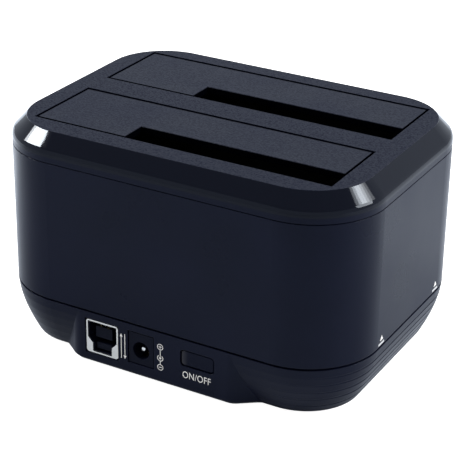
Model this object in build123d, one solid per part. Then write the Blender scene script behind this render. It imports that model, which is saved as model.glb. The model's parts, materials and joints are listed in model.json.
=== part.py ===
from build123d import *
import math
import os

os.makedirs("parts", exist_ok=True)

# Frame: +X along the long side, ports face -Y, +Z up, origin on the table under the middle of the box.
# All lengths are in millimetres.

# The two drive bays and their L-shaped flaps
drive_length_across = 101.6
flap_length = 104.0
flap_width = 29.4
flap_thickness = 2.2
flap_edge_bevel = 0.25
flap_gap = 0.5
flap_near_gap = 0.4
slot_length = 71.0
slot_width = 10.0
bay_pitch = 41.2

# Margins between the bay openings and the outer walls
end_margin = 12.0
near_margin = 12.5
far_margin = 11.2

# Outer body
corner_radius = 24.5
foot_drop = 0.5
base_height = 18.23
sleeve_height = 48.53
cover_height = 8.54
wall = 2.2
skin = 2.0

# Top cover edge
cover_slope_inset = 5.0
cover_slope_drop = 5.1
cover_slope_softening = 3.0

# Lips and shadow lines between the three shells
lip_thickness = 1.1
lip_overlap = 1.6
lip_root = 1.9
lip_clearance = 0.1
cover_line_height = 0.3
cover_line_depth = 0.6
base_line_height = 0.75
base_line_depth = 0.8

# Base: it draws in towards the table in ribbed bands
base_inset = 6.1
base_draw_power = 1.6
base_bands = 6
rib_groove_width = 0.5
rib_groove_depth = 0.24
rib_fade_shift = 0.27
base_floor = 2.2
base_edge_bevel = 0.6

# Port pad, a flat pad that stays in the plane of the wall
pad_length = 57.6
pad_shift = -1.3
pad_flank_run = 8.6
pad_flank_sink = 0.4
pad_shoulder_radius = 6.0
pad_hollow_radius = 10.0
pad_edge_bevel = 1.1

# Vents and feet under the base
vent_length = 16.0
vent_width = 2.2
vent_pitch = 6.0
vent_rows = 2
vent_columns = 7
vent_row_pitch = 21.0
foot_radius = 5.5
foot_seat_depth = 1.0
foot_inset_x = 26.5
foot_inset_y = 19.6

# Main board, held under the bays; the ports hang from its lower face
board_drop = 2.6
board_thickness = 1.6
board_margin = 4.0
board_far_margin = 9.0
board_post_half = 3.0
board_post_inset_x = 14.5
board_post_offset_y = 14.0
board_notch = 5.5
board_screw_radius = 1.2
board_screw_grip = 7.0
board_screw_head_radius = 2.4
board_screw_head_height = 1.5

# Case screws: up through the base into the bay wells
case_screw_radius = 1.4
case_screw_grip = 5.5
case_screw_head_radius = 2.7
case_screw_head_height = 1.9
case_screw_head_sink = 2.5
case_screw_inset_x = 16.5
case_screw_inset_y = 14.6
case_post_radius = 4.2
well_post_half = 3.0
post_join_height = 11.0
screw_clearance = 0.05
screw_through_clearance = 0.3
screw_sides = 10

# Bay wells
well_wall = 1.6
well_floor_lift = 2.5
well_corner_radius = 4.0
well_swing_gap = 0.3
well_far_wall_drop = 9.2
well_far_wall_notch = 7.2
guide_rib_width = 1.6
guide_rib_gap = 0.3
guide_rib_top_drop = 33.5
guide_rib_offsets = (7.0, 19.0)
well_ear_length = 4.6
well_ear_width = 5.6
well_ear_thickness = 2.0
well_boss_height = 5.0
well_boss_half = 2.1
well_screw_radius = 1.0
well_screw_grip = 3.6
well_screw_head_radius = 1.9
well_screw_head_height = 1.3

# Flap hinge: a fixed steel pin under the cover, beyond the bay's far edge
hinge_barrel_radius = 1.7
hinge_pin_radius = 1.0
hinge_running_gap = 0.06
hinge_seat_gap = 0.03
hinge_skin_gap = 0.3
hinge_beyond_edge = 0.45
hinge_side_gap = 0.3
hinge_span = 76.0
hinge_barrel_length = 8.0
hinge_ear_thickness = 2.5
hinge_ear_radius = 1.9
hinge_pin_overhang = 1.0
hinge_snap_share = 0.85
hinge_arm_reach = 3.3
stop_tab_reach = 1.4
stop_tab_root = 2.0
stop_tab_height = 1.6
stop_tab_width = 3.0
stop_tab_offset = 3.5
stop_gap = 0.1

# Flap torsion spring, wound round the hinge pin
spring_wire_radius = 0.3
spring_coil_radius = 1.45
spring_turns = 2
spring_wire_sides = 4
spring_pitch = 0.72
spring_leg = 4.2

# Drive socket: a long upright receptacle, data slot and power slot in line
socket_off_centre = 20.7
socket_face_offset = 3.8
socket_length = 37.6
socket_depth = 5.8
socket_height = 9.6
socket_wing_length = 2.6
socket_wing_depth = 6.4
socket_wing_rise = 0.6
socket_wing_lead = 0.7
socket_data_slot = 11.0
socket_key_wall = 2.0
socket_power_slot = 21.2
socket_slot_width = 2.0
socket_slot_depth = 7.0
socket_slot_foot = 1.1
socket_slot_foot_length = 1.3
socket_cutout_gap = 0.4
contact_pitch = 1.27
contact_width = 0.7
contact_thickness = 0.25
contact_height = 5.6
data_contacts = 7
power_contacts = 15

# Data socket in the pad, hung upside down so that its narrow part points down
data_x = -20.2
data_width = 12.0
data_height = 11.8
data_depth = 17.0
data_sheet = 0.45
data_corner = 1.0
data_recess = 0.2
data_frame_side = 0.55
data_frame_bar = 0.5
data_neck_half = 3.62
data_neck_top = 5.4
data_step_height = 1.9
data_liner = 0.5
data_cavity_depth = 9.0
data_tongue_recess = 1.2
data_tongue_width = 6.2
data_tongue_height = 3.9
data_tongue_drop = 2.4
data_small_tongue_width = 5.6
data_small_tongue_height = 2.2
data_small_tongue_drop = 8.2
data_contact_width = 0.8
data_contact_thickness = 0.15
data_contact_length = 6.0
data_contact_pitch = 2.5
data_small_contact_width = 0.5
data_small_contact_pitch = 1.0
port_gap = 0.35

# Power jack in the pad
jack_x = -5.5
jack_width = 9.0
jack_height = 10.9
jack_depth = 14.0
jack_hole_drop = 5.93
jack_hole_radius = 3.0
jack_hole_depth = 10.0
jack_pin_radius = 1.0
jack_pin_length = 9.0
jack_pin_root = 2.5
jack_leaf_width = 2.0
jack_leaf_thickness = 0.3
jack_leaf_length = 7.5

# Power button and its push switch
button_x = 15.1
button_width = 11.8
button_height = 5.4
button_drop = 3.75
button_corner = 1.2
button_gap = 0.25
button_recess = 0.15
button_edge_bevel = 0.4
button_travel = 1.5
button_flange = 0.9
button_flange_thickness = 1.2
button_stop_gap = 0.1
plunger_size = 3.0
plunger_entry = 3.0
plunger_gap = 0.15
plunger_socket_depth = 2.0
switch_width = 8.0
switch_depth = 12.0
switch_clearance = 0.6
switch_chamfer = 0.5

# Activity lamps and light pipes at the +X end, one for each bay
lamp_inset = 7.3
lamp_length = 3.2
lamp_width = 1.6
lamp_height = 1.1
lamp_gap = 0.15
pipe_width = 4.0
pipe_rise = 1.0
pipe_arm_height = 0.7
pipe_root_length = 2.6
pipe_window_gap = 0.08
far_mark_shift = 0.5
window_sill = 1.05

# Electronics on the board's lower face
chip_size = 10.0
chip_thickness = 1.4
chip_bevel = 0.2
chip_leads_per_side = 8
chip_lead_pitch = 1.15
chip_lead_width = 0.5
chip_lead_length = 1.0
chip_lead_thickness = 0.3
small_chip_length = 5.0
small_chip_width = 4.0
small_chip_thickness = 1.5
small_chip_leads = 4
small_chip_lead_pitch = 1.27
small_chip_lead_width = 0.45
crystal_length = 11.0
crystal_width = 4.6
crystal_height = 3.5
coil_size = 7.3
coil_height = 4.2
coil_chamfer = 1.6
can_radius = 3.15
can_height = 7.7
can_base = 6.6
can_base_height = 1.0
can_base_corner = 1.2
input_can_radius = 4.0
input_can_height = 9.5
chip_spot = (4.0, -14.0)
memory_spot = (19.0, -12.0)
crystal_spot = (-12.0, -14.0)
drive_converter_spot = (-30.0, 4.0)
logic_converter_spot = (-30.0, -14.0)
drive_coil_spot = (-18.0, 4.0)
logic_coil_spot = (-42.0, -12.0)
input_can_spot = (-38.0, 16.0)
can_spot_x = 32.0
can_spot_offset = 13.15

# A cutting overrun, used by every cut, and the reach of a search for edges at one level
over = 1.0
hair = 0.001

# Sizes worked out from the values above
opening_length = flap_length + 2 * flap_gap
bay_width = flap_width + flap_gap + flap_near_gap
body_length = opening_length + 2 * end_margin
body_depth = near_margin + bay_width + bay_pitch + far_margin
front_y = -body_depth / 2
back_y = body_depth / 2
right_x = body_length / 2

base_bottom_z = foot_drop
base_top_z = base_bottom_z + base_height
sleeve_top_z = base_top_z + sleeve_height
top_z = sleeve_top_z + cover_height
skin_z = top_z - skin
base_floor_z = base_bottom_z + base_floor
head_seat_z = base_bottom_z + case_screw_head_sink

board_low_z = base_top_z - board_drop
board_top_z = board_low_z + board_thickness
well_under_z = board_top_z + well_floor_lift
well_floor_z = well_under_z + well_wall

hinge_z = skin_z - hinge_skin_gap - hinge_barrel_radius
flap_low_z = top_z - flap_thickness

pad_back_y = front_y + wall
bay_edges = {"near": front_y + near_margin, "far": front_y + near_margin + bay_pitch}
case_screw_x = right_x - case_screw_inset_x
case_screw_y = back_y - case_screw_inset_y
board_post_x = right_x - board_post_inset_x
foot_x = right_x - foot_inset_x
foot_y = back_y - foot_inset_y


def save(shape, name):
    """Writes one sub-part."""
    export_step(shape, "parts/" + name + ".step")


def box(x0, x1, y0, y1, z0, z1):
    """A block between two corners."""
    middle = ((x0 + x1) / 2, (y0 + y1) / 2, (z0 + z1) / 2)
    return Pos(*middle) * Box(x1 - x0, y1 - y0, z1 - z0)


def body_section(inset):
    """The rounded outline of the body, drawn in by an inset."""
    return RectangleRounded(
        body_length - 2 * inset, body_depth - 2 * inset, corner_radius - inset
    )


def body_slab(inset, z0, z1):
    """A straight slab of the body's outline."""
    return Pos(0, 0, z0) * extrude(body_section(inset), z1 - z0)


def body_taper(low_inset, high_inset, z0, z1):
    """A slab whose sides lean from one inset to another."""
    lean = math.degrees(math.atan2(high_inset - low_inset, z1 - z0))
    return Pos(0, 0, z0) * extrude(body_section(low_inset), z1 - z0, taper=lean)


def body_ring(outer_inset, inner_inset, z0, z1):
    """A straight ring that follows the body's outline."""
    return body_slab(outer_inset, z0, z1) - body_slab(inner_inset, z0 - over, z1 + over)


def rod_x(x0, x1, y, z, radius):
    """A round rod along X."""
    return Pos((x0 + x1) / 2, y, z) * Rot(0, 90, 0) * Cylinder(radius, x1 - x0)


def rod_y(x, y0, y1, z, radius):
    """A round rod along Y."""
    return Pos(x, (y0 + y1) / 2, z) * Rot(90, 0, 0) * Cylinder(radius, y1 - y0)


def rod_z(x, y, z0, z1, radius):
    """A round rod along Z."""
    return Pos(x, y, (z0 + z1) / 2) * Cylinder(radius, z1 - z0)


def square_post(x, y, z0, z1, half):
    """A square upright post."""
    return box(x - half, x + half, y - half, y + half, z0, z1)


def edges_at(shape, axis, level):
    """The edges that lie at one level along an axis."""
    return shape.edges().filter_by_position(axis, level - hair, level + hair)


def corners_at(shape, level):
    """The corners of an outline that lie at one level along Y."""
    return shape.vertices().filter_by_position(Axis.Y, level - hair, level + hair)


def four_corners(x, y):
    """The four mirrored places of one corner."""
    return [(sx * x, sy * y) for sx in (-1, 1) for sy in (-1, 1)]


def draw_in(share):
    """How far the base has drawn in at a share of its height, from its top."""
    return base_inset * share**base_draw_power


# Top cover

def hinge_y(edge):
    """The hinge axis lies just beyond the far edge of a bay's opening."""
    return edge + bay_width + hinge_beyond_edge


def barrel_centres():
    """Where the flap's two barrels stand along the pin."""
    return (-hinge_span / 2, hinge_span / 2)


def ear_spans():
    """The two ears that hold a pin's ends, one outside each barrel."""
    near_x = (hinge_span + hinge_barrel_length) / 2 + hinge_side_gap
    far_x = near_x + hinge_ear_thickness
    return [(-far_x, -near_x), (near_x, far_x)]


def hinge_ear(x0, x1, edge):
    """One ear under the cover: a round eye and a web up to the skin."""
    y = hinge_y(edge)
    web_low_y = edge + bay_width
    eye = rod_x(x0, x1, y, hinge_z, hinge_ear_radius)
    web = box(x0, x1, web_low_y, y + hinge_ear_radius, hinge_z, skin_z + skin / 2)
    return eye + web


def well_ear_places(edge):
    """The two screw ears of one well, one at each end."""
    x = right_x - end_margin + well_wall + well_ear_length / 2
    middle = edge + bay_width / 2
    return [(-x, middle), (x, middle)]


def top_cover():
    """The cover: sloped glossy border, two openings, lip, ears and screw bosses."""
    cover = body_slab(0, sleeve_top_z, top_z)
    rim = cover.faces().sort_by(Axis.Z)[-1].edges()
    cover = chamfer(rim, cover_slope_drop, cover_slope_inset)
    slope_foot_z = top_z - cover_slope_drop
    foot = edges_at(cover, Axis.Z, slope_foot_z)
    cover = fillet(foot, cover_slope_softening)

    hollow = body_slab(wall + lip_clearance, sleeve_top_z - over, skin_z)
    rim = hollow.faces().sort_by(Axis.Z)[-1].edges()
    hollow = chamfer(rim, cover_slope_drop - skin / 2, cover_slope_inset - skin / 2)
    cover = cover - hollow
    lip_inset = wall + lip_clearance
    lip_foot = sleeve_top_z - lip_overlap
    cover = cover + body_ring(lip_inset, lip_inset + lip_thickness, lip_foot, sleeve_top_z + lip_root)
    for edge in bay_edges.values():
        half = opening_length / 2
        cover = cover - box(-half, half, edge, edge + bay_width, skin_z - over, top_z + over)
        for x0, x1 in ear_spans():
            cover = cover + hinge_ear(x0, x1, edge)
        y = hinge_y(edge)
        cover = cover - rod_x(-half, half, y, hinge_z, hinge_pin_radius + hinge_seat_gap)
        mouth = hinge_pin_radius * hinge_snap_share
        cover = cover - box(-half, half, y - mouth, y + mouth, hinge_z - hinge_ear_radius - over, hinge_z)
        for x, y in well_ear_places(edge):
            boss_foot = skin_z - well_boss_height
            boss = square_post(x, y, boss_foot, skin_z + skin / 2, well_boss_half)
            pilot_top = boss_foot + well_screw_grip + screw_clearance
            pilot = rod_z(x, y, boss_foot - over, pilot_top, well_screw_radius + screw_clearance)
            cover = cover + boss - pilot
    return cover


# Housing sleeve

def window_spans():
    """The small window of each activity lamp in the +X wall: y and z limits."""
    z0 = base_top_z + window_sill
    half = pipe_width / 2
    spans = {}
    for name, edge in bay_edges.items():
        shift = far_mark_shift if name == "far" else 0
        y = edge + flap_near_gap + flap_width / 2 + shift
        spans[name] = (y - half, y + half, z0, z0 + pipe_arm_height)
    return spans


def housing_sleeve():
    """The plain band between cover and base, with a lip below and a shadow line at each end."""
    sleeve = body_ring(0, wall, base_top_z, sleeve_top_z)
    line_foot = sleeve_top_z - cover_line_height
    top_line = body_ring(-over, cover_line_depth, line_foot, sleeve_top_z + over)
    line_top = base_top_z + base_line_height
    base_line = body_ring(-over, base_line_depth, base_top_z - over, line_top)
    sleeve = sleeve - top_line - base_line
    lip_inset = wall + lip_clearance
    lip_foot = base_top_z - lip_overlap
    lip_back = lip_inset + lip_thickness
    lip = body_ring(lip_inset, lip_back, lip_foot, base_top_z)
    root = body_ring(wall - lip_clearance, lip_back, base_top_z, base_top_z + lip_root / 4)
    sleeve = sleeve + lip + root
    gap = pipe_window_gap
    x0 = right_x - lip_back - over
    for y0, y1, z0, z1 in window_spans().values():
        sleeve = sleeve - box(x0, right_x + over, y0 - gap, y1 + gap, z0 - gap, z1 + gap)
    return sleeve


# Base

def rib_groove(level_share):
    """One fine groove round the base, which fades out over the corners of the port side."""
    z = base_top_z - base_height * level_share
    inset = draw_in(level_share) + rib_groove_depth
    core = body_section(inset) + Pos(0, -rib_fade_shift) * body_section(inset)
    frame = body_section(-over) - core
    return Pos(0, 0, z - rib_groove_width / 2) * extrude(frame, rib_groove_width)


def port_pad():
    """The flat pad for the ports, with hollow flanks that run into the drawn-in base."""
    half = pad_length / 2
    root_y = front_y + base_inset + pad_flank_sink
    deep_y = root_y + base_inset
    outer = half + pad_flank_run + pad_hollow_radius / 2
    right = [(half, front_y), (half + pad_flank_run, root_y), (outer, root_y), (outer, deep_y)]
    left = [(-x, y) for x, y in reversed(right)]
    outline = make_face(Polyline(*left, *right, close=True))
    outline = fillet(corners_at(outline, front_y), pad_shoulder_radius)
    inner = half + pad_flank_run + pad_hollow_radius / 4
    hollows = [v for v in corners_at(outline, root_y) if abs(v.X) < inner]
    outline = fillet(hollows, pad_hollow_radius)
    pad = Pos(pad_shift, 0, base_bottom_z) * extrude(outline, base_height)
    return chamfer(edges_at(pad, Axis.Z, base_bottom_z), pad_edge_bevel)


def base_hollow():
    """The space inside the base, straight at its mouth and drawn in below."""
    straight_z = base_top_z - lip_overlap - 2 * lip_clearance
    floor_share = (base_top_z - base_floor_z) / base_height
    floor_inset = draw_in(floor_share) + wall
    hollow = body_slab(wall, straight_z, base_top_z + over)
    hollow = hollow + body_taper(floor_inset, wall, base_floor_z, straight_z)
    half = abs(data_x) + data_width / 2 + port_gap
    pocket_y = front_y + base_inset + 2 * wall
    return hollow + box(-half, half, pad_back_y, pocket_y, base_floor_z, base_top_z + over)


def port_cutouts():
    """The three holes of the pad."""
    y0 = front_y - over
    y1 = pad_back_y + over
    cuts = box(
        data_x - data_width / 2 - port_gap,
        data_x + data_width / 2 + port_gap,
        y0,
        y1,
        board_low_z - data_height - port_gap,
        board_low_z + port_gap,
    )
    cuts = cuts + box(
        jack_x - jack_width / 2 - port_gap,
        jack_x + jack_width / 2 + port_gap,
        y0,
        y1,
        board_low_z - jack_height - port_gap,
        board_low_z + port_gap,
    )
    return cuts + button_prism(button_gap, y0, y1)


def base_shell():
    """The base: ribbed bands, port pad, posts, foot seats, vents and screw holes."""
    base = None
    for band in range(base_bands):
        high_share = band / base_bands
        low_share = (band + 1) / base_bands
        z1 = base_top_z - base_height * high_share
        z0 = base_top_z - base_height * low_share
        slab = body_taper(draw_in(low_share), draw_in(high_share), z0, z1)
        if band == base_bands - 1:
            slab = chamfer(edges_at(slab, Axis.Z, base_bottom_z), base_edge_bevel)
        base = slab if base is None else base + slab
    for band in range(1, base_bands):
        base = base - rib_groove(band / base_bands)
    base = base + port_pad()
    base = base - base_hollow() - port_cutouts()

    for x, y in four_corners(case_screw_x, case_screw_y):
        post = rod_z(x, y, base_bottom_z, post_join_height, case_post_radius)
        sink_radius = case_screw_head_radius + screw_through_clearance
        sink = rod_z(x, y, base_bottom_z - over, head_seat_z, sink_radius)
        hole_radius = case_screw_radius + screw_through_clearance
        hole = rod_z(x, y, base_bottom_z, post_join_height + over, hole_radius)
        base = base + post - sink - hole
    for x, y in four_corners(board_post_x, board_post_offset_y):
        post = square_post(x, y, base_floor_z - base_floor / 2, board_low_z, board_post_half)
        pilot_foot = board_low_z - board_screw_grip - screw_clearance
        pilot_radius = board_screw_radius + screw_clearance
        base = base + post - rod_z(x, y, pilot_foot, board_low_z + over, pilot_radius)
    for x, y in four_corners(foot_x, foot_y):
        base = base - rod_z(x, y, base_bottom_z - over, base_bottom_z + foot_seat_depth, foot_radius)
    slot = Rectangle(vent_width, vent_length)
    vents = Sketch() + GridLocations(vent_pitch, vent_row_pitch, vent_columns, vent_rows) * slot
    return base - Pos(0, 0, base_bottom_z - over) * extrude(vents, base_floor + 2 * over)


def rubber_foot(x, y):
    """A round foot, let into its seat and standing proud of the base."""
    return rod_z(x, y, 0, base_bottom_z + foot_seat_depth, foot_radius - screw_clearance)


# Screws

def screw_length(x, y, z0, z1, radius):
    """A length of a screw, with few flat sides in place of a round surface."""
    low_z = min(z0, z1)
    return Pos(x, y, low_z) * extrude(RegularPolygon(radius, screw_sides), max(z0, z1) - low_z)


def screw(x, y, head_z, direction, shank_radius, shank_length, head_radius, head_height):
    """A plain screw from the seat under its head; direction is +1 for a shank that points up."""
    shank = screw_length(x, y, head_z, head_z + direction * shank_length, shank_radius)
    return shank + screw_length(x, y, head_z, head_z - direction * head_height, head_radius)


def case_screws():
    """Four long screws from under the base into the wells."""
    length = post_join_height - head_seat_z + case_screw_grip
    head = (case_screw_head_radius, case_screw_head_height)
    return [
        screw(x, y, head_seat_z, 1, case_screw_radius, length, *head)
        for x, y in four_corners(case_screw_x, case_screw_y)
    ]


def board_screws():
    """Four screws that hold the board on its posts."""
    length = board_thickness + board_screw_grip
    head = (board_screw_head_radius, board_screw_head_height)
    return [
        screw(x, y, board_top_z, -1, board_screw_radius, length, *head)
        for x, y in four_corners(board_post_x, board_post_offset_y)
    ]


def well_screws():
    """Four small screws that hang the wells from the cover."""
    seat = skin_z - well_boss_height - well_ear_thickness
    length = well_ear_thickness + well_screw_grip
    head = (well_screw_head_radius, well_screw_head_height)
    return [
        screw(x, y, seat, 1, well_screw_radius, length, *head)
        for edge in bay_edges.values()
        for x, y in well_ear_places(edge)
    ]


# Bay wells

def socket_place(edge):
    """The middle of a bay's drive socket."""
    return socket_off_centre, edge + socket_face_offset


def guide_rib(side, y):
    """A vertical rib that centres a drive over the socket, with a lead-in at its top."""
    wall_x = opening_length / 2
    face_x = drive_length_across / 2 + guide_rib_gap
    top = skin_z - guide_rib_top_drop
    half = guide_rib_width / 2
    lead = wall_x - face_x
    profile = make_face(
        Polyline(
            (wall_x + well_wall / 2, well_floor_z - well_wall / 2),
            (face_x, well_floor_z - well_wall / 2),
            (face_x, top - 2 * lead),
            (wall_x, top),
            (wall_x + well_wall / 2, top),
            close=True,
        )
    )
    rib = Pos(0, y + half, 0) * extrude(Plane.XZ * profile, 2 * half)
    return rib if side > 0 else mirror(rib, Plane.YZ)


def bay_well(edge):
    """The well that a drive slides into: walls, floor with socket hole, ears and screw posts."""
    half = opening_length / 2
    outline = RectangleRounded(
        opening_length + 2 * well_wall, bay_width + 2 * well_wall, well_corner_radius
    )
    middle = edge + bay_width / 2
    well = Pos(0, middle, well_under_z) * extrude(outline, skin_z - well_under_z)
    near_y = edge - well_swing_gap
    well = well - box(-half, half, near_y, edge + bay_width, well_floor_z, skin_z + over)
    low_z = skin_z - well_far_wall_drop
    notch_y = hinge_y(edge) - well_far_wall_notch
    far_y = edge + bay_width + well_wall + over
    reach = half + well_wall + over
    well = well - box(-reach, reach, notch_y, far_y, low_z, skin_z + over)
    for side in (-1, 1):
        for offset in guide_rib_offsets:
            well = well + guide_rib(side, edge + offset)
    x, y = socket_place(edge)
    hole_x = socket_length / 2 + socket_wing_length + socket_cutout_gap
    hole_y = socket_wing_depth / 2 + socket_cutout_gap
    hole_near_y = max(y - hole_y, near_y)
    hole_foot = well_under_z - over
    well = well - box(x - hole_x, x + hole_x, hole_near_y, y + hole_y, hole_foot, well_floor_z + over)
    ear_top = skin_z - well_boss_height
    ear_low = ear_top - well_ear_thickness
    for x, y in well_ear_places(edge):
        side = math.copysign(1, x)
        near_x = side * (half + well_wall * 3 / 4)
        far_x = side * (half + well_wall + well_ear_length)
        y0 = y - well_ear_width / 2
        y1 = y + well_ear_width / 2
        ear = box(min(near_x, far_x), max(near_x, far_x), y0, y1, ear_low, ear_top)
        hole_radius = well_screw_radius + screw_through_clearance / 2
        well = well + ear - rod_z(x, y, ear_low - over, ear_top + over, hole_radius)
    for x, y in four_corners(case_screw_x, case_screw_y):
        if edge < y < edge + bay_width:
            post_top = well_under_z + well_wall / 2
            post = square_post(x, y, post_join_height, post_top, well_post_half)
            pilot_top = post_join_height + case_screw_grip + screw_clearance
            pilot_radius = case_screw_radius + screw_clearance
            well = well + post - rod_z(x, y, post_join_height - over, pilot_top, pilot_radius)
    return well


# Flaps and hinges

def flap_plate(edge):
    """The L-shaped plate: the slot for a small drive is cut from its near edge at the +X end."""
    half = flap_length / 2
    y0 = edge + flap_near_gap
    y1 = y0 + flap_width
    corner_x = half - slot_length
    outline = make_face(
        Polyline(
            (-half, y0),
            (corner_x, y0),
            (corner_x, y0 + slot_width),
            (half, y0 + slot_width),
            (half, y1),
            (-half, y1),
            close=True,
        )
    )
    plate = Pos(0, 0, flap_low_z) * extrude(outline, flap_thickness)
    rim = plate.faces().sort_by(Axis.Z)[-1].edges()
    return chamfer(rim, flap_edge_bevel)


def hinge_arm(centre, edge):
    """A barrel on the pin, with an arm up to the plate's under face."""
    y = hinge_y(edge)
    x0 = centre - hinge_barrel_length / 2
    x1 = centre + hinge_barrel_length / 2
    plate_edge_y = edge + flap_near_gap + flap_width
    root_y = plate_edge_y - hinge_arm_reach
    top = flap_low_z + flap_thickness / 2
    profile = make_face(
        Polyline(
            (root_y, top),
            (plate_edge_y - flap_edge_bevel, top),
            (plate_edge_y - flap_edge_bevel, hinge_z),
            (y, hinge_z),
            (y, hinge_z - hinge_barrel_radius),
            (y - hinge_barrel_radius / 2, hinge_z - hinge_barrel_radius),
            (root_y, flap_low_z - flap_thickness / 2),
            close=True,
        )
    )
    arm = Pos(x0, 0, 0) * extrude(Plane.YZ * profile, x1 - x0)
    return arm + rod_x(x0, x1, y, hinge_z, hinge_barrel_radius)


def stop_tab(side, edge):
    """A tab under the flap's end that meets the cover's skin and stops the flap level with it."""
    half = flap_length / 2
    y1 = hinge_y(edge) - stop_tab_offset
    x0 = half - stop_tab_root
    x1 = half + stop_tab_reach
    z1 = skin_z - stop_gap
    tab = box(x0, x1, y1 - stop_tab_width, y1, z1 - stop_tab_height, z1)
    return tab if side > 0 else mirror(tab, Plane.YZ)


def bay_flap(edge):
    """A whole flap: plate, two hinge arms, two stop tabs."""
    flap = flap_plate(edge)
    for centre in barrel_centres():
        flap = flap + hinge_arm(centre, edge)
    for side in (-1, 1):
        flap = flap + stop_tab(side, edge)
    half = flap_length / 2
    bore = rod_x(-half, half, hinge_y(edge), hinge_z, hinge_pin_radius + hinge_running_gap)
    return flap - bore


def flap_pin(edge):
    """The steel pin through both ears and both barrels of one flap."""
    half = ear_spans()[-1][1] + hinge_pin_overhang
    return rod_x(-half, half, hinge_y(edge), hinge_z, hinge_pin_radius)


def flap_spring(edge):
    """A torsion spring round the middle of the pin: one leg under the cover, one under the flap."""
    y = hinge_y(edge)
    length = spring_turns * spring_pitch
    coil = Helix(spring_pitch, length, spring_coil_radius, direction=(1, 0, 0))
    start = coil @ 0
    along = coil % 0
    turn = math.degrees(math.atan2(start.Z, start.Y))
    coil = Rot(90 - turn, 0, 0) * coil
    start = coil @ 0
    along = coil % 0
    wire = Plane(origin=start, z_dir=along) * RegularPolygon(spring_wire_radius, spring_wire_sides)
    winding = sweep(wire, path=coil)
    z = spring_coil_radius
    half = spring_wire_radius * math.cos(math.pi / spring_wire_sides)
    first_end = -math.copysign(spring_leg, along.Y)
    spring = winding
    for x, end_y in ((start.X, first_end), (start.X + length, -first_end)):
        y0 = min(-math.copysign(half, end_y), end_y)
        y1 = max(-math.copysign(half, end_y), end_y)
        spring = spring + box(x - half, x + half, y0, y1, z - half, z + half)
    return Pos(-length / 2, y, hinge_z) * spring


# Drive sockets

def slot_spans():
    """The two slots along X, measured from the socket's middle."""
    total = socket_data_slot + socket_key_wall + socket_power_slot
    data = (-total / 2, -total / 2 + socket_data_slot)
    power = (data[1] + socket_key_wall, total / 2)
    return data, power


def drive_socket(edge):
    """The receptacle: block with two L-shaped slots and a raised guide wing at each end."""
    x, y = socket_place(edge)
    z0 = board_top_z
    z1 = z0 + socket_height
    half = socket_length / 2
    body = box(x - half, x + half, y - socket_depth / 2, y + socket_depth / 2, z0, z1)
    y0 = y - socket_wing_depth / 2
    y1 = y + socket_wing_depth / 2
    for side in (-1, 1):
        a = x + side * half
        b = x + side * (half + socket_wing_length)
        wing = box(min(a, b), max(a, b), y0, y1, z0, z1 + socket_wing_rise)
        rim = wing.faces().sort_by(Axis.Z)[-1].edges()
        body = body + chamfer(rim, socket_wing_lead)
    slot_low = z1 - socket_slot_depth
    half_slot = socket_slot_width / 2
    foot_y = y - half_slot - socket_slot_foot
    for start, end in slot_spans():
        x0 = x + start
        body = body - box(x0, x + end, y - half_slot, y + half_slot, slot_low, z1 + over)
        body = body - box(x0, x0 + socket_slot_foot_length, foot_y, y, slot_low, z1 + over)
    return body


def drive_contacts(edge):
    """The spring strips along the far wall of each slot."""
    x, y = socket_place(edge)
    z0 = board_top_z + socket_height - socket_slot_depth
    z1 = z0 + contact_height
    y1 = y + socket_slot_width / 2
    y0 = y1 - contact_thickness
    half = contact_width / 2
    strips = []
    for (start, end), count in zip(slot_spans(), (data_contacts, power_contacts)):
        middle = x + (start + end) / 2
        for i in range(count):
            centre = middle + (i - (count - 1) / 2) * contact_pitch
            strips.append(box(centre - half, centre + half, y0, y1, z0, z1))
    return strips


# Data socket

def data_opening(grow):
    """The mouth of the data socket: wide above, narrow below, with slanted steps between."""
    top = board_low_z - data_frame_bar
    low = board_low_z - data_height + data_frame_bar
    step_low = board_low_z - data_height + data_neck_top - data_step_height
    step_high = step_low + data_step_height
    wide = data_width / 2 - data_frame_side + grow
    neck = data_neck_half + grow
    right = [(neck, low - grow), (neck, step_low), (wide, step_high), (wide, top + grow)]
    left = [(-x, z) for x, z in reversed(right)]
    return [(data_x + x, z) for x, z in right + left]


def prism_y(points, y0, y1):
    """A prism along Y from an outline in X and Z."""
    face = make_face(Polyline(*points, close=True))
    return Pos(0, y1, 0) * extrude(Plane.XZ * face, y1 - y0)


def data_tube(shrink, y0, y1):
    """The socket's outer block, shrunk by a sheet's thickness where asked."""
    middle_z = board_low_z - data_height / 2
    corner = data_corner - shrink / 2
    outline = RectangleRounded(data_width - 2 * shrink, data_height - 2 * shrink, corner)
    return Pos(data_x, y1, middle_z) * extrude(Plane.XZ * outline, y1 - y0)


def data_socket_shell():
    """The folded metal shell with its front frame."""
    y0 = front_y + data_recess
    y1 = y0 + data_depth
    tube = data_tube(0, y0, y1) - data_tube(data_sheet, y0 - over, y1 + over)
    frame = data_tube(0, y0, y0 + data_sheet)
    mouth = prism_y(data_opening(0), y0 - over, y0 + data_sheet + over)
    return tube + frame - mouth


def data_socket_insulator():
    """The black moulding inside the shell, with one large and one small tongue."""
    y0 = front_y + data_recess + data_sheet
    y1 = front_y + data_recess + data_depth
    wall_y = y0 + data_cavity_depth
    block = data_tube(data_sheet, y0, y1)
    block = block - prism_y(data_opening(-data_liner / 2), y0 - over, wall_y)
    y0 = front_y + data_recess + data_tongue_recess
    y1 = wall_y + over
    z1 = board_low_z - data_tongue_drop
    half = data_tongue_width / 2
    block = block + box(data_x - half, data_x + half, y0, y1, z1 - data_tongue_height, z1)
    z1 = board_low_z - data_small_tongue_drop
    half = data_small_tongue_width / 2
    return block + box(data_x - half, data_x + half, y0, y1, z1 - data_small_tongue_height, z1)


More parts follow.
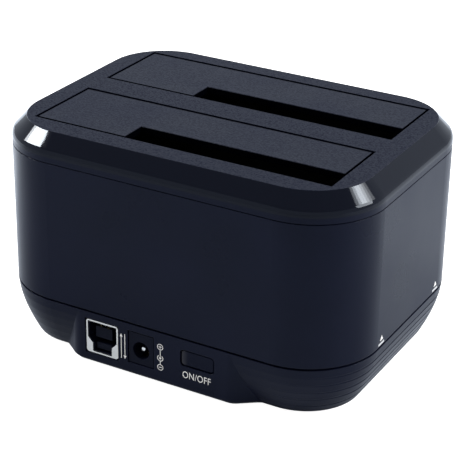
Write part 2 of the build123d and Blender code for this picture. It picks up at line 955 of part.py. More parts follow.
def data_socket_contacts():
    """Two strips above and two below the large tongue, five under the small one."""
    y0 = front_y + data_recess + data_tongue_recess + data_sheet
    y1 = y0 + data_contact_length
    large_top = board_low_z - data_tongue_drop
    large_low = large_top - data_tongue_height
    small_low = board_low_z - data_small_tongue_drop - data_small_tongue_height
    strips = []
    for z0 in (large_top, large_low - data_contact_thickness):
        for side in (-1, 1):
            x = data_x + side * data_contact_pitch / 2
            half = data_contact_width / 2
            strips.append(box(x - half, x + half, y0, y1, z0, z0 + data_contact_thickness))
    for i in range(-2, 3):
        x = data_x + i * data_small_contact_pitch
        half = data_small_contact_width / 2
        strips.append(box(x - half, x + half, y0, y1, small_low - data_contact_thickness, small_low))
    return strips


# Power jack

def jack_hole_z():
    """The height of the jack's axis."""
    return board_low_z - jack_hole_drop


def power_jack_body():
    """The jack's block with its round hole, a rear pin hole and a slit for the leaf."""
    y0 = front_y + data_recess
    y1 = y0 + jack_depth
    half = jack_width / 2
    block = box(jack_x - half, jack_x + half, y0, y1, board_low_z - jack_height, board_low_z)
    z = jack_hole_z()
    block = block - rod_y(jack_x, y0 - over, y0 + jack_hole_depth, z, jack_hole_radius)
    block = block - rod_y(jack_x, y0, y0 + jack_hole_depth + jack_pin_root, z, jack_pin_radius)
    leaf_half = jack_leaf_width / 2
    slit_low = z - jack_hole_radius - jack_leaf_thickness
    slit_y1 = y0 + jack_hole_depth
    slit_y0 = slit_y1 - jack_leaf_length
    return block - box(jack_x - leaf_half, jack_x + leaf_half, slit_y0, slit_y1, slit_low, z)


def power_jack_pin():
    """The centre pin with its rounded tip."""
    y0 = front_y + data_recess
    tip = y0 + jack_hole_depth - jack_pin_length
    root = y0 + jack_hole_depth + jack_pin_root
    pin = rod_y(jack_x, tip, root, jack_hole_z(), jack_pin_radius)
    nose = edges_at(pin, Axis.Y, tip)
    return chamfer(nose, jack_pin_radius / 2)


def power_jack_leaf():
    """The leaf contact in the floor of the hole."""
    y1 = front_y + data_recess + jack_hole_depth
    half = jack_leaf_width / 2
    low = jack_hole_z() - jack_hole_radius - jack_leaf_thickness
    return box(jack_x - half, jack_x + half, y1 - jack_leaf_length, y1, low, low + jack_leaf_thickness)


# Power button and switch

def button_z():
    """The height of the button's middle."""
    return board_low_z - button_drop


def button_prism(grow, y0, y1):
    """The button's rounded outline, grown by a gap, as a prism along Y."""
    corner = button_corner + grow
    outline = RectangleRounded(button_width + 2 * grow, button_height + 2 * grow, corner)
    return Pos(button_x, y1, button_z()) * extrude(Plane.XZ * outline, y1 - y0)


def flange_back_y():
    """The back of the button's flange at rest."""
    return pad_back_y + button_stop_gap + button_flange_thickness


def switch_front_y():
    """The front of the switch leaves room for the whole travel."""
    return flange_back_y() + button_travel + switch_clearance


def power_button():
    """The key: a rounded face, and a flange that stops it behind the wall."""
    face_y = front_y + button_recess
    flange_y = pad_back_y + button_stop_gap
    key = button_prism(0, face_y, flange_back_y())
    rim = key.faces().sort_by(Axis.Y)[0].edges()
    key = chamfer(rim, button_edge_bevel)
    key = key + button_prism(button_flange, flange_y, flange_back_y())
    half = plunger_size / 2
    y0 = flange_back_y() - plunger_socket_depth
    y1 = flange_back_y() + over
    z = button_z()
    return key - box(button_x - half, button_x + half, y0, y1, z - half, z + half)


def switch_plunger():
    """The square plunger, from its socket in the key to inside the switch."""
    half = plunger_size / 2
    y0 = flange_back_y() - plunger_socket_depth
    y1 = switch_front_y() + plunger_entry
    z = button_z()
    return box(button_x - half, button_x + half, y0, y1, z - half, z + half)


def switch_body():
    """The push switch's case, with a hole that takes the plunger over its travel."""
    y0 = switch_front_y()
    y1 = y0 + switch_depth
    half = switch_width / 2
    z0 = board_low_z - 2 * button_drop
    case = box(button_x - half, button_x + half, y0, y1, z0, board_low_z)
    case = chamfer(case.edges().filter_by(Axis.Y), switch_chamfer)
    hole = plunger_size / 2 + plunger_gap
    deep = y0 + plunger_entry + button_travel + switch_clearance
    z = button_z()
    return case - box(button_x - hole, button_x + hole, y0 - over, deep, z - hole, z + hole)


# Lamps

def activity_lamp(name):
    """A lamp on the board's top face, under the light pipe's root."""
    y0, y1, _, _ = window_spans()[name]
    y = (y0 + y1) / 2
    x = right_x - lamp_inset
    half_x = lamp_width / 2
    half_y = lamp_length / 2
    z1 = board_top_z + lamp_height
    lamp = box(x - half_x, x + half_x, y - half_y, y + half_y, board_top_z, z1)
    rim = lamp.faces().sort_by(Axis.Z)[-1].edges()
    return chamfer(rim, lamp_gap)


def light_pipe(name):
    """A clear bar from over the lamp to the window, with a slanted back that turns the light."""
    y0, y1, z0, z1 = window_spans()[name]
    root_x = right_x - lamp_inset - pipe_root_length / 2
    low = board_top_z + lamp_height + lamp_gap
    points = [
        (root_x, low),
        (root_x + pipe_root_length, low),
        (root_x + pipe_root_length, z0),
        (right_x, z0),
        (right_x, z1),
        (root_x + pipe_rise, z1),
        (root_x, z1 - pipe_rise),
    ]
    return prism_y(points, y0, y1)


# Board and its electronics

def main_board():
    """The board: a plate with screw holes, and square corners cut out round the screw posts."""
    x = right_x - wall - board_margin
    y0 = front_y + board_margin
    y1 = back_y - board_far_margin
    short_x = case_screw_x - board_notch
    short_y = case_screw_y - board_notch
    board = box(-x, x, -short_y, short_y, board_low_z, board_top_z)
    board = board + box(-short_x, short_x, y0, y1, board_low_z, board_top_z)
    hole_radius = board_screw_radius + screw_through_clearance
    for px, py in four_corners(board_post_x, board_post_offset_y):
        board = board - rod_z(px, py, board_low_z - over, board_top_z + over, hole_radius)
    return board


def leaded_chip(spot, length, width, thickness, per_side, pitch, lead_width, all_sides):
    """A chip on the board's lower face, with flat leads along two or four sides."""
    x, y = spot
    z1 = board_low_z - chip_lead_thickness / 2
    body = box(x - length / 2, x + length / 2, y - width / 2, y + width / 2, z1 - thickness, z1)
    lower = body.faces().sort_by(Axis.Z)[0].edges()
    chip = chamfer(lower, chip_bevel)
    root = width / 2 - chip_bevel
    reach = width / 2 + chip_lead_length
    turns = (0, 90, 180, 270) if all_sides else (0, 180)
    z0 = board_low_z - chip_lead_thickness
    for turn in turns:
        for i in range(per_side):
            along = (i - (per_side - 1) / 2) * pitch
            lead = box(along - lead_width / 2, along + lead_width / 2, root, reach, z0, board_low_z)
            chip = chip + Pos(x, y, 0) * Rot(0, 0, turn) * lead
    return chip


def small_chip(spot):
    """An eight-lead chip."""
    return leaded_chip(
        spot,
        small_chip_length,
        small_chip_width,
        small_chip_thickness,
        small_chip_leads,
        small_chip_lead_pitch,
        small_chip_lead_width,
        False,
    )


def bridge_chip():
    """The bridge between the data socket and the two drive sockets."""
    return leaded_chip(
        chip_spot,
        chip_size,
        chip_size,
        chip_thickness,
        chip_leads_per_side,
        chip_lead_pitch,
        chip_lead_width,
        True,
    )


def crystal_can():
    """The clock crystal in its oval can."""
    outline = SlotOverall(crystal_length, crystal_width)
    return Pos(*crystal_spot, board_low_z - crystal_height) * extrude(outline, crystal_height)


def power_coil(spot):
    """A shielded coil: a square block with cut corners."""
    x, y = spot
    half = coil_size / 2
    z0 = board_low_z - coil_height
    block = box(x - half, x + half, y - half, y + half, z0, board_low_z)
    return chamfer(block.edges().filter_by(Axis.Z), coil_chamfer)


def can_capacitor(x, y, radius, height):
    """A can capacitor on a square base with two cut corners."""
    half = radius * can_base / (2 * can_radius)
    z1 = board_low_z
    foot = box(x - half, x + half, y - half, y + half, z1 - can_base_height, z1)
    foot = chamfer(foot.edges().filter_by(Axis.Z).sort_by(Axis.X)[-2:], can_base_corner)
    return foot + rod_z(x, y, z1 - height, z1 - can_base_height, radius)


# Writing every sub-part

save(top_cover(), "top_cover")
save(housing_sleeve(), "housing_sleeve")
save(base_shell(), "base_shell")
for sx, end in ((-1, "left"), (1, "right")):
    for sy, side in ((-1, "front"), (1, "rear")):
        save(rubber_foot(sx * foot_x, sy * foot_y), "foot_" + side + "_" + end)
save(Compound(case_screws()), "case_screws")
save(Compound(board_screws()), "board_screws")
save(Compound(well_screws()), "well_screws")

for bay, bay_edge in bay_edges.items():
    save(bay_well(bay_edge), bay + "_bay_well")
    save(bay_flap(bay_edge), bay + "_bay_flap")
    save(flap_pin(bay_edge), bay + "_flap_pin")
    save(flap_spring(bay_edge), bay + "_flap_spring")
    save(drive_socket(bay_edge), bay + "_drive_socket")
    save(Compound(drive_contacts(bay_edge)), bay + "_drive_socket_contacts")
    save(activity_lamp(bay), bay + "_activity_lamp")
    save(light_pipe(bay), bay + "_light_pipe")
    can_y = bay_edge + can_spot_offset
    save(can_capacitor(can_spot_x, can_y, can_radius, can_height), bay + "_drive_capacitor")

save(main_board(), "main_board")
save(bridge_chip(), "bridge_chip")
save(small_chip(memory_spot), "memory_chip")
save(crystal_can(), "clock_crystal")
save(small_chip(drive_converter_spot), "drive_supply_chip")
save(small_chip(logic_converter_spot), "logic_supply_chip")
save(power_coil(drive_coil_spot), "drive_supply_coil")
save(power_coil(logic_coil_spot), "logic_supply_coil")
save(can_capacitor(*input_can_spot, input_can_radius, input_can_height), "input_capacitor")

save(data_socket_shell(), "data_socket_shell")
save(data_socket_insulator(), "data_socket_insulator")
save(Compound(data_socket_contacts()), "data_socket_contacts")
save(power_jack_body(), "power_jack_body")
save(power_jack_pin(), "power_jack_pin")
save(power_jack_leaf(), "power_jack_leaf")
save(power_button(), "power_button")
save(switch_plunger(), "switch_plunger")
save(switch_body(), "switch_body")
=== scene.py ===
import json
import math
from collections import namedtuple

import bmesh
import bpy
from mathutils import Matrix, Quaternion, Vector


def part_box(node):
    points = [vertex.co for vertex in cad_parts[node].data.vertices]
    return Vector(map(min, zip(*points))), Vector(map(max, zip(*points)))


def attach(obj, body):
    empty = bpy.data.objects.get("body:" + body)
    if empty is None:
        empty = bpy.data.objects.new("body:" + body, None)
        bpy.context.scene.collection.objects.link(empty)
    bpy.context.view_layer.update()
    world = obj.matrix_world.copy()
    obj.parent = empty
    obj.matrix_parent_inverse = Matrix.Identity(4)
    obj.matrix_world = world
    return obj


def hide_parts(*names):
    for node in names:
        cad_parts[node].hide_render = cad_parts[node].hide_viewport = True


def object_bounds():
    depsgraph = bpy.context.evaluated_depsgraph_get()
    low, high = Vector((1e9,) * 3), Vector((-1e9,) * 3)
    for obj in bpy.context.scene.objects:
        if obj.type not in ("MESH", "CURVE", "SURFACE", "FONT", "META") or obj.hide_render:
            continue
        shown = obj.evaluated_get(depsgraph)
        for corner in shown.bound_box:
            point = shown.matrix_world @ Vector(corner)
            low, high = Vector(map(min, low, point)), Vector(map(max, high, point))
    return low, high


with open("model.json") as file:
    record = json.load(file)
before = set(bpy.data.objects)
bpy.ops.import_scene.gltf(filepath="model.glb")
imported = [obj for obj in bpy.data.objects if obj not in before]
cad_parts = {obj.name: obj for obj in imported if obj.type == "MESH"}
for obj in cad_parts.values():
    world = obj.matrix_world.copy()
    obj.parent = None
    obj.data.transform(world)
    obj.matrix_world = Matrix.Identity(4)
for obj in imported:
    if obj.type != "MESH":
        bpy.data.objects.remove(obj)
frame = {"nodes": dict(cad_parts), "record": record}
cad_low, cad_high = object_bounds()

# All lengths are in metres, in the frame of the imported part.
mm = 0.001

# Camera, fitted to the photograph; its roll is in degrees, its lens and sensor in millimetres
camera_place = (0.23375, -0.41922, 0.2650)
camera_aim = (-0.43802, 0.78704, -0.43441)
camera_roll = 0.911
camera_lens = 124.66
camera_sensor = 36.0
camera_nearest = 0.01

# Softboxes: directions are azimuth from +X and elevation, in degrees
lamp_distance = 2.0
right_softbox_start = (20.0, 48.0)
right_softbox_step = (4.0, -2.0)
right_softbox_radiance = (8.0, 22.0, 36.0, 34.0, 23.0, 12.0, 5.0)

# Room: its plain light, and what mirrors see of it from the horizon up to the ceiling
room_glow = 0.42
horizon_glow = 0.95
horizon_top = 31.0
ceiling_foot = 37.0
ceiling_glow = 0.3
mirror_tint = (0.88, 0.96, 1.08)

# Floor: pale paper that shines white into the camera, but not from under the object
floor_radius = 2.6
floor_steps = 96
floor_albedo = 0.7
floor_fibre_scale = 60
floor_fibre_share = 0.02
floor_white = 0.95
floor_shade_margin = 22.0 * mm

# Floor as mirrors see it: brighter behind the object, and brightest at its left
floor_mirror_front = 0.06
floor_mirror_back = 0.42
floor_mirror_left = 1.42
floor_mirror_from = -0.03
floor_mirror_to = 0.08
floor_mirror_side_share = 0.35
floor_mirror_left_end = -0.12

# Plastics of the housing: blacks with some blue in them
housing_black = (0.0040, 0.0052, 0.0148)
cover_black = (0.0044, 0.0052, 0.0100)
socket_black = (0.0032, 0.0040, 0.0105)
cool_gloss = (0.82, 0.90, 1.0, 1.0)
top_grain = 0.6 * mm
top_grain_depth = 0.08 * mm
wall_grain = 0.35 * mm
wall_grain_depth = 0.003 * mm
wall_edge = 0.35 * mm
edge_samples = 6

# What all plastics share: clouds, and how far colour and gloss vary with them
cloud_scale = 38
cloud_share = 0.6
colour_variation = 0.15
gloss_variation = 0.04

# The ranges that most of a noise pattern lies in, wide and narrow
wide_noise = (0.3, 0.7)
narrow_noise = (0.35, 0.65)

# Masks: how much colour is left under painted shade, and how a mask passes from 0 to 1
painted_shade_colour_share = 0.1
mask_passage = 0.1 * mm
margin_start_share = 0.6
face_tolerance = 0.02 * mm

# The cover: levels below its top, each as where a mask is 0 and where it is 1
cover_top_levels = (0.12 * mm, 0.04 * mm)
cover_band_levels = (6.4 * mm, 7.0 * mm)
cover_slope_roughness = (0.05, 0.075)
cover_top_roughness = (0.44, 0.52)
cover_band_roughness = 0.24
cover_gloss_level = 0.14
cover_band_gloss_level = 0.1
cover_sparkle = 0.11
# Painted shade on the cover's bay walls below its top: the margin of the shaded area round the flaps'
# tops, and the share of colour and gloss left there
bay_painted_shade_margin = -1.0 * mm
bay_wall_painted_shade_share = 0.05

# The flaps: painted shade on a rim of their top where the shade of their rounded edges falls, its
# widths at the left, right, near and far; and the depth under their top below which their cut sides are
# painted nearly black as shade
flap_rim = (0.55 * mm, 0.15 * mm, 0.35 * mm, 0.90 * mm)
flap_painted_shade_depth = 0.08 * mm
flap_speckle = 0.45

# The key's painted highlight on its left end: where it begins to fade and where it is gone, from the
# left end on, and how much it adds to the colour
key_shade = 0.85
key_painted_highlight_from = 1.0 * mm
key_painted_highlight_to = 3.4 * mm
key_painted_highlight = 0.034

# Milky plastics: how much darker their clouds are, and their roughness
milky_shade = 0.94
milky_roughness = (0.25, 0.35)
milky_grain_depth = 0.003 * mm

# Metals: shades between their stains, and how far the grain changes the roughness
metal_shades = (0.86, 1.04)
metal_smoother = 0.06
metal_rougher = 0.08

# The board: green mask over bare laminate and over copper, with lines at cell edges
mask_on_laminate = (0.010, 0.080, 0.035)
mask_on_copper = (0.030, 0.150, 0.060)
board_line_scale = 260
board_line_edge = (0.44, 0.5)
board_line_height = 0.02 * mm
board_roughness = (0.25, 0.38)

# Printed marks on the port pad and the +X end; boxes are low x, high x, low z, high z
ink_height = 0.008 * mm
switch_words = "ON/OFF"
switch_words_spacing = 1.05
switch_words_box = (9.9 * mm, 20.0 * mm, 5.4 * mm, 7.8 * mm)
data_mark_box = (-13.4 * mm, -10.9 * mm, 5.6 * mm, 14.6 * mm)
power_mark_box = (0.6 * mm, 2.8 * mm, 5.4 * mm, 14.9 * mm)
lamp_mark_gap = 0.82 * mm
lamp_mark_height = 1.8 * mm
lamp_mark_width = 2.2 * mm

# Screws
ScrewSizes = namedtuple("ScrewSizes", "shank_radius head_radius head_height")
case_screw = ScrewSizes(shank_radius=1.4 * mm, head_radius=2.7 * mm, head_height=1.9 * mm)
board_screw = ScrewSizes(shank_radius=1.2 * mm, head_radius=2.4 * mm, head_height=1.5 * mm)
well_screw = ScrewSizes(shank_radius=1.0 * mm, head_radius=1.9 * mm, head_height=1.3 * mm)
thread_pitch = 1.1 * mm
thread_depth = 0.22 * mm
thread_steps = 24
thread_rows_per_turn = 6
thread_sharpness = 3.2
screw_tip_share = 0.35
screw_smooth_angle = 40

# Screw heads, as shares of their radius or height
head_steps = 40
dome_shares = (0, 0.15, 0.3, 0.45, 0.6, 0.75, 0.9, 1.0)
dome_flat = 0.45
dome_rim = 0.35
recess_length = 0.58
recess_width = 0.15
recess_taper = 0.7
recess_start = 1.2
recess_end = 0.35

# Feet, with the dish under each as shares of its radius and depths, and the jack's pin
foot_rounding = 0.7 * mm
foot_steps = 64
foot_dish = ((0.25, 0.25 * mm), (0.6, 0.22 * mm), (0.72, 0))
pin_steps = 40
pin_nose_share = 0.9
pin_nose_steps = 10


# Node helpers

def new_material(name):
    """A material with one Principled shader, its nodes and that shader."""
    material = bpy.data.materials.new(name)
    material.use_nodes = True
    tree = material.node_tree
    return material, tree, tree.nodes["Principled BSDF"]


def add_node(tree, kind, **values):
    """A node with some of its inputs or properties set."""
    node = tree.nodes.new(kind)
    for key, value in values.items():
        if key in node.inputs:
            node.inputs[key].default_value = value
        else:
            setattr(node, key, value)
    return node


def object_place(tree):
    """Object coordinates, which are the part's own metres."""
    return tree.nodes.new("ShaderNodeTexCoord").outputs["Object"]


def coordinate(tree, place, axis):
    """One coordinate of a place: X, Y or Z."""
    axes = tree.nodes.new("ShaderNodeSeparateXYZ")
    tree.links.new(place, axes.inputs[0])
    return axes.outputs[axis]


def noise(tree, place, scale, detail=3.0, rough=0.5):
    """A noise pattern over the object's own coordinates."""
    node = add_node(tree, "ShaderNodeTexNoise", Scale=scale, Detail=detail, Roughness=rough)
    tree.links.new(place, node.inputs["Vector"])
    return node.outputs["Fac"]


def spread(tree, value, low, high, new_low, new_high):
    """Maps a value from one range to another."""
    node = tree.nodes.new("ShaderNodeMapRange")
    tree.links.new(value, node.inputs["Value"])
    node.inputs["From Min"].default_value = low
    node.inputs["From Max"].default_value = high
    node.inputs["To Min"].default_value = new_low
    node.inputs["To Max"].default_value = new_high
    return node.outputs["Result"]


def feed(tree, value, socket):
    """Sets a socket to a number, or links a value to it."""
    if isinstance(value, (int, float)):
        socket.default_value = value
    else:
        tree.links.new(value, socket)


def calculate(tree, operation, first, second):
    """One operation on two values; each may be a socket or a number."""
    node = add_node(tree, "ShaderNodeMath", operation=operation)
    feed(tree, first, node.inputs[0])
    feed(tree, second, node.inputs[1])
    return node.outputs[0]


def total(tree, first, *others):
    """The sum of values, each a socket or a number."""
    for value in others:
        first = calculate(tree, "ADD", first, value)
    return first


def product(tree, first, *others):
    """The product of values, each a socket or a number."""
    for value in others:
        first = calculate(tree, "MULTIPLY", first, value)
    return first


def blend_values(tree, share, first, second):
    """A value between two, by a share; each may be a socket or a number."""
    node = tree.nodes.new("ShaderNodeMix")
    tree.links.new(share, node.inputs["Factor"])
    feed(tree, first, node.inputs["A"])
    feed(tree, second, node.inputs["B"])
    return node.outputs["Result"]


def blend_colours(tree, share, first, second):
    """A colour between two, by a share."""
    node = add_node(tree, "ShaderNodeMix", data_type="RGBA")
    colours = {socket.name: socket for socket in node.inputs if socket.type == "RGBA"}
    colours["A"].default_value = (*first, 1)
    colours["B"].default_value = (*second, 1)
    tree.links.new(share, node.inputs["Factor"])
    return next(socket for socket in node.outputs if socket.type == "RGBA")


def combine_colours(tree, operation, first, second):
    """One operation on two colours, or on a colour and a value."""
    node = add_node(tree, "ShaderNodeVectorMath", operation=operation)
    tree.links.new(first, node.inputs[0])
    tree.links.new(second, node.inputs["Scale" if operation == "SCALE" else 1])
    return node.outputs[0]


def tinted(colour, share):
    """A colour made lighter or darker."""
    return tuple(c * share for c in colour)


def add_bump(tree, shader, height, distance):
    """A bump from a height pattern, in metres."""
    node = add_node(tree, "ShaderNodeBump", Strength=1.0, Distance=distance)
    tree.links.new(height, node.inputs["Height"])
    tree.links.new(node.outputs["Normal"], shader.inputs["Normal"])
    return node


# Masks

def height_mask(tree, place, low, high):
    """0 at one level and 1 at another, with an even passage between them."""
    return spread(tree, coordinate(tree, place, "Z"), low, high, 0, 1)


def depth_mask(tree, place, top_z, levels):
    """A height mask between two levels that are given as depths below a top."""
    return height_mask(tree, place, top_z - levels[0], top_z - levels[1])


def inside_mask(tree, place, low, high, margins):
    """1 inside a rectangle seen from above; the margins are those left, right, near and far."""
    left, right, near, far = margins
    inside = 1.0
    for axis, edge, margin in (
        ("X", low.x, left), ("X", high.x, -right), ("Y", low.y, near), ("Y", high.y, -far),
    ):
        across = coordinate(tree, place, axis)
        side = spread(tree, across, edge + margin * margin_start_share, edge + margin, 0, 1)
        inside = product(tree, side, inside)
    return inside


def top_face(node):
    """The low and high corner of a piece's top face."""
    points = [v.co for v in frame["nodes"][node].data.vertices]
    top = max(p.z for p in points) - face_tolerance
    level = [p for p in points if p.z > top]
    low = Vector(min(p[i] for p in level) for i in range(3))
    high = Vector(max(p[i] for p in level) for i in range(3))
    return low, high


# Plastics

def moulded_plastic(
    name, colour, roughness, level, grain, depth, edge=0, speckle=0, dark_below=None, rim=None
):
    """Moulded plastic: fine grain, faint clouds in colour and gloss.

    The level is that of the mirror gloss, the depth is the grain's, and the edge is the radius
    of softened edges. Given a height, all under it gets painted shade, nearly black with no gloss,
    and so does what lies outside a given rim; the speckle is how far the gloss differs from grain to
    grain where no shade is painted.
    """
    material, tree, shader = new_material(name)
    place = object_place(tree)
    clouds = noise(tree, place, cloud_scale, detail=4)
    fine = noise(tree, place, scale=1 / grain, detail=2, rough=0.6)
    mixed = total(tree, product(tree, clouds, cloud_share), product(tree, fine, 1 - cloud_share))
    share = spread(tree, mixed, *narrow_noise, 0, 1)
    darker = tinted(colour, 1 - colour_variation)
    lighter = tinted(colour, 1 + colour_variation)
    colours = blend_colours(tree, share, darker, lighter)
    gloss = spread(tree, clouds, *wide_noise, roughness - gloss_variation, roughness + gloss_variation)
    tree.links.new(gloss, shader.inputs["Roughness"])
    shader.inputs["Specular IOR Level"].default_value = level
    if dark_below is not None:
        # Painted shade: colour nearly black and no gloss below the height and outside the rim
        sparkle = spread(tree, fine, *narrow_noise, level * (1 - speckle), level * (1 + speckle))
        clear_of_painted_shade = height_mask(tree, place, dark_below - mask_passage, dark_below)
        if rim:
            clear_of_painted_shade = product(tree, clear_of_painted_shade, inside_mask(tree, place, *rim))
        shown = spread(tree, clear_of_painted_shade, 0, 1, painted_shade_colour_share, 1)
        colours = combine_colours(tree, "SCALE", colours, shown)
        tree.links.new(product(tree, clear_of_painted_shade, sparkle), shader.inputs["Specular IOR Level"])
    tree.links.new(colours, shader.inputs["Base Color"])
    bump = add_bump(tree, shader, fine, depth)
    if edge:
        soft = add_node(tree, "ShaderNodeBevel", Radius=edge, samples=edge_samples)
        tree.links.new(soft.outputs["Normal"], bump.inputs["Normal"])
    return material


def housing_moulding(name, colour, **options):
    """Moulded plastic whose gloss is as cool as the housing's."""
    material = moulded_plastic(name, colour, **options)
    material.node_tree.nodes["Principled BSDF"].inputs["Specular Tint"].default_value = cool_gloss
    return material


def cover_roughness(tree, clouds, fine, top, band):
    """Polished on the slope, grained on the top and dull on the band."""
    polished = spread(tree, clouds, *wide_noise, *cover_slope_roughness)
    grained = spread(tree, fine, *wide_noise, *cover_top_roughness)
    extra = product(tree, calculate(tree, "SUBTRACT", grained, polished), top)
    dull = product(tree, band, cover_band_roughness)
    return total(tree, polished, extra, dull)


def cover_plastic():
    """The cover: grained flat top, polished slope round it, dull band below, painted shade on the bay
    walls.
    """
    material, tree, shader = new_material("cover_plastic")
    place = object_place(tree)
    top_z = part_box("top_cover")[1].z
    top = depth_mask(tree, place, top_z, cover_top_levels)
    band = depth_mask(tree, place, top_z, cover_band_levels)
    clouds = noise(tree, place, cloud_scale, detail=4)
    fine = noise(tree, place, scale=1 / top_grain, detail=2, rough=0.6)

    # Painted shade: the bay walls below the top get a darker colour and less gloss
    bay_corners = top_face("near_bay_flap")[0], top_face("far_bay_flap")[1]
    bays = inside_mask(tree, place, *bay_corners, (bay_painted_shade_margin,) * 4)
    bay_wall_painted_shade = product(tree, bays, spread(tree, top, 0, 1, 1, 0))
    clear_of_painted_shade = spread(tree, bay_wall_painted_shade, 0, 1, 1, bay_wall_painted_shade_share)

    colours = blend_colours(tree, calculate(tree, "MAXIMUM", top, band), cover_black, housing_black)
    tree.links.new(combine_colours(tree, "SCALE", colours, clear_of_painted_shade), shader.inputs["Base Color"])
    tree.links.new(cover_roughness(tree, clouds, fine, top, band), shader.inputs["Roughness"])
    sparkle = product(tree, spread(tree, fine, *narrow_noise, -cover_sparkle, cover_sparkle), top)
    steady = spread(tree, band, 0, 1, cover_gloss_level, cover_band_gloss_level)
    shine = total(tree, sparkle, steady)
    tree.links.new(product(tree, shine, clear_of_painted_shade), shader.inputs["Specular IOR Level"])
    shader.inputs["Specular Tint"].default_value = cool_gloss
    add_bump(tree, shader, product(tree, fine, top), top_grain_depth)
    return material


def flap_plastic(bay):
    """A flap: grained as the cover's top, with painted shade making its cut sides nearly black and its
    rounded edges dark.
    """
    low, high = top_face(bay + "_bay_flap")
    # Painted shade: cut sides below the top's depth are nearly black, and so is a rim round the top
    return housing_moulding(
        bay + "_flap_plastic", housing_black,
        roughness=0.48, level=0.175, grain=top_grain, depth=top_grain_depth,
        speckle=flap_speckle, dark_below=high.z - flap_painted_shade_depth, rim=(low, high, flap_rim),
    )


def key_plastic():
    """The key: the walls' plastic, a little darker, with a painted highlight on its left end."""
    material = housing_moulding(
        "key_plastic", tinted(housing_black, key_shade),
        roughness=0.3, level=0.085, grain=wall_grain, depth=wall_grain_depth,
    )
    tree = material.node_tree
    colour = tree.nodes["Principled BSDF"].inputs["Base Color"]
    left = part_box("power_button")[0].x
    across = coordinate(tree, object_place(tree), "X")
    # Painted highlight: colour added at the key's left end, fading out towards the right
    pale = spread(tree, across, left + key_painted_highlight_from, left + key_painted_highlight_to, key_painted_highlight, 0)
    tree.links.new(combine_colours(tree, "ADD", colour.links[0].from_socket, pale), colour)
    return material


def housing_plastic():
    """The walls: semi-matte, nearly smooth."""
    return housing_moulding(
        "housing_plastic", housing_black,
        roughness=0.3, level=0.1, grain=wall_grain, depth=wall_grain_depth, edge=wall_edge,
    )


def socket_plastic():
    """Heat-proof black plastic of sockets, jack and switch."""
    return housing_moulding(
        "socket_plastic", socket_black,
        roughness=0.36, level=0.085, grain=0.3 * mm, depth=0.004 * mm,
    )


def well_plastic():
    """The wells inside: matte black."""
    return moulded_plastic(
        "well_plastic", (0.006, 0.006, 0.007),
        roughness=0.6, level=0.2, grain=0.5 * mm, depth=0.01 * mm,
    )


def plunger_plastic():
    """The switch's plunger."""
    return moulded_plastic(
        "plunger_plastic", (0.55, 0.55, 0.52),
        roughness=0.35, level=0.4, grain=0.3 * mm, depth=0.003 * mm,
    )


def foot_rubber():
    """Soft black rubber with a coarse grain."""
    return moulded_plastic(
        "foot_rubber", (0.018, 0.018, 0.019),
        roughness=0.8, level=0.3, grain=0.25 * mm, depth=0.03 * mm,
    )


def chip_plastic():
    """Chip moulding compound."""
    return moulded_plastic(
        "chip_plastic", (0.014, 0.014, 0.015),
        roughness=0.55, level=0.3, grain=0.2 * mm, depth=0.006 * mm,
    )


def coil_ferrite():
    """Sintered ferrite."""
    return moulded_plastic(
        "coil_ferrite", (0.045, 0.042, 0.042),
        roughness=0.62, level=0.35, grain=0.3 * mm, depth=0.012 * mm,
    )


def printed_ink():
    """White pad-printed ink."""
    return moulded_plastic(
        "printed_ink", (0.80, 0.80, 0.79),
        roughness=0.5, level=0.3, grain=0.12 * mm, depth=0.002 * mm,
    )


def milky_plastic(name, colour):
    """A plastic that looks milky from the light in it."""
    material, tree, shader = new_material(name)
    clouds = noise(tree, object_place(tree), scale=250, detail=3)
    colours = blend_colours(tree, clouds, tinted(colour, milky_shade), colour)
    tree.links.new(colours, shader.inputs["Base Color"])
    gloss = spread(tree, clouds, *wide_noise, *milky_roughness)
    tree.links.new(gloss, shader.inputs["Roughness"])
    add_bump(tree, shader, clouds, milky_grain_depth)
    return material


def lamp_plastic():
    """The lamps' milky lens."""
    return milky_plastic("lamp_plastic", (0.86, 0.86, 0.78))


def pipe_plastic():
    """The light pipes."""
    return milky_plastic("pipe_plastic", (0.62, 0.64, 0.66))


# Metals and the board

def metal(name, colour, roughness, grain, stretch, depth):
    """A metal with a fine drawn or rolled grain, long where the stretch is small."""
    material, tree, shader = new_material(name)
    place = object_place(tree)
    mapping = add_node(tree, "ShaderNodeMapping", Scale=stretch)
    tree.links.new(place, mapping.inputs["Vector"])
    drawn = noise(tree, mapping.outputs["Vector"], scale=1 / grain, detail=3, rough=0.6)
    stains = spread(tree, noise(tree, place, scale=90, detail=4), *wide_noise, 0, 1)
    darker, lighter = (tinted(colour, shade) for shade in metal_shades)
    tree.links.new(blend_colours(tree, stains, darker, lighter), shader.inputs["Base Color"])
    gloss = spread(tree, drawn, *wide_noise, roughness - metal_smoother, roughness + metal_rougher)
    tree.links.new(gloss, shader.inputs["Roughness"])
    shader.inputs["Metallic"].default_value = 1.0
    add_bump(tree, shader, drawn, depth)
    return material


def screw_steel():
    """Zinc-plated steel."""
    return metal(
        "screw_steel", (0.55, 0.56, 0.57),
        roughness=0.32, grain=0.3 * mm, stretch=(1, 1, 3), depth=0.004 * mm,
    )


def pin_steel():
    """Bright steel, drawn along the flaps' pins."""
    return metal(
        "pin_steel", (0.62, 0.62, 0.63),
        roughness=0.25, grain=0.2 * mm, stretch=(0.1, 1, 1), depth=0.003 * mm,
    )


def contact_metal():
    """Gold-plated contact strip."""
    return metal(
        "contact_metal", (0.83, 0.62, 0.28),
        roughness=0.22, grain=0.2 * mm, stretch=(1, 1, 0.3), depth=0.002 * mm,
    )


def jack_pin_metal():
    """Nickel plate, turned."""
    return metal(
        "jack_pin_metal", (0.82, 0.81, 0.79),
        roughness=0.16, grain=0.15 * mm, stretch=(1, 6, 1), depth=0.002 * mm,
    )


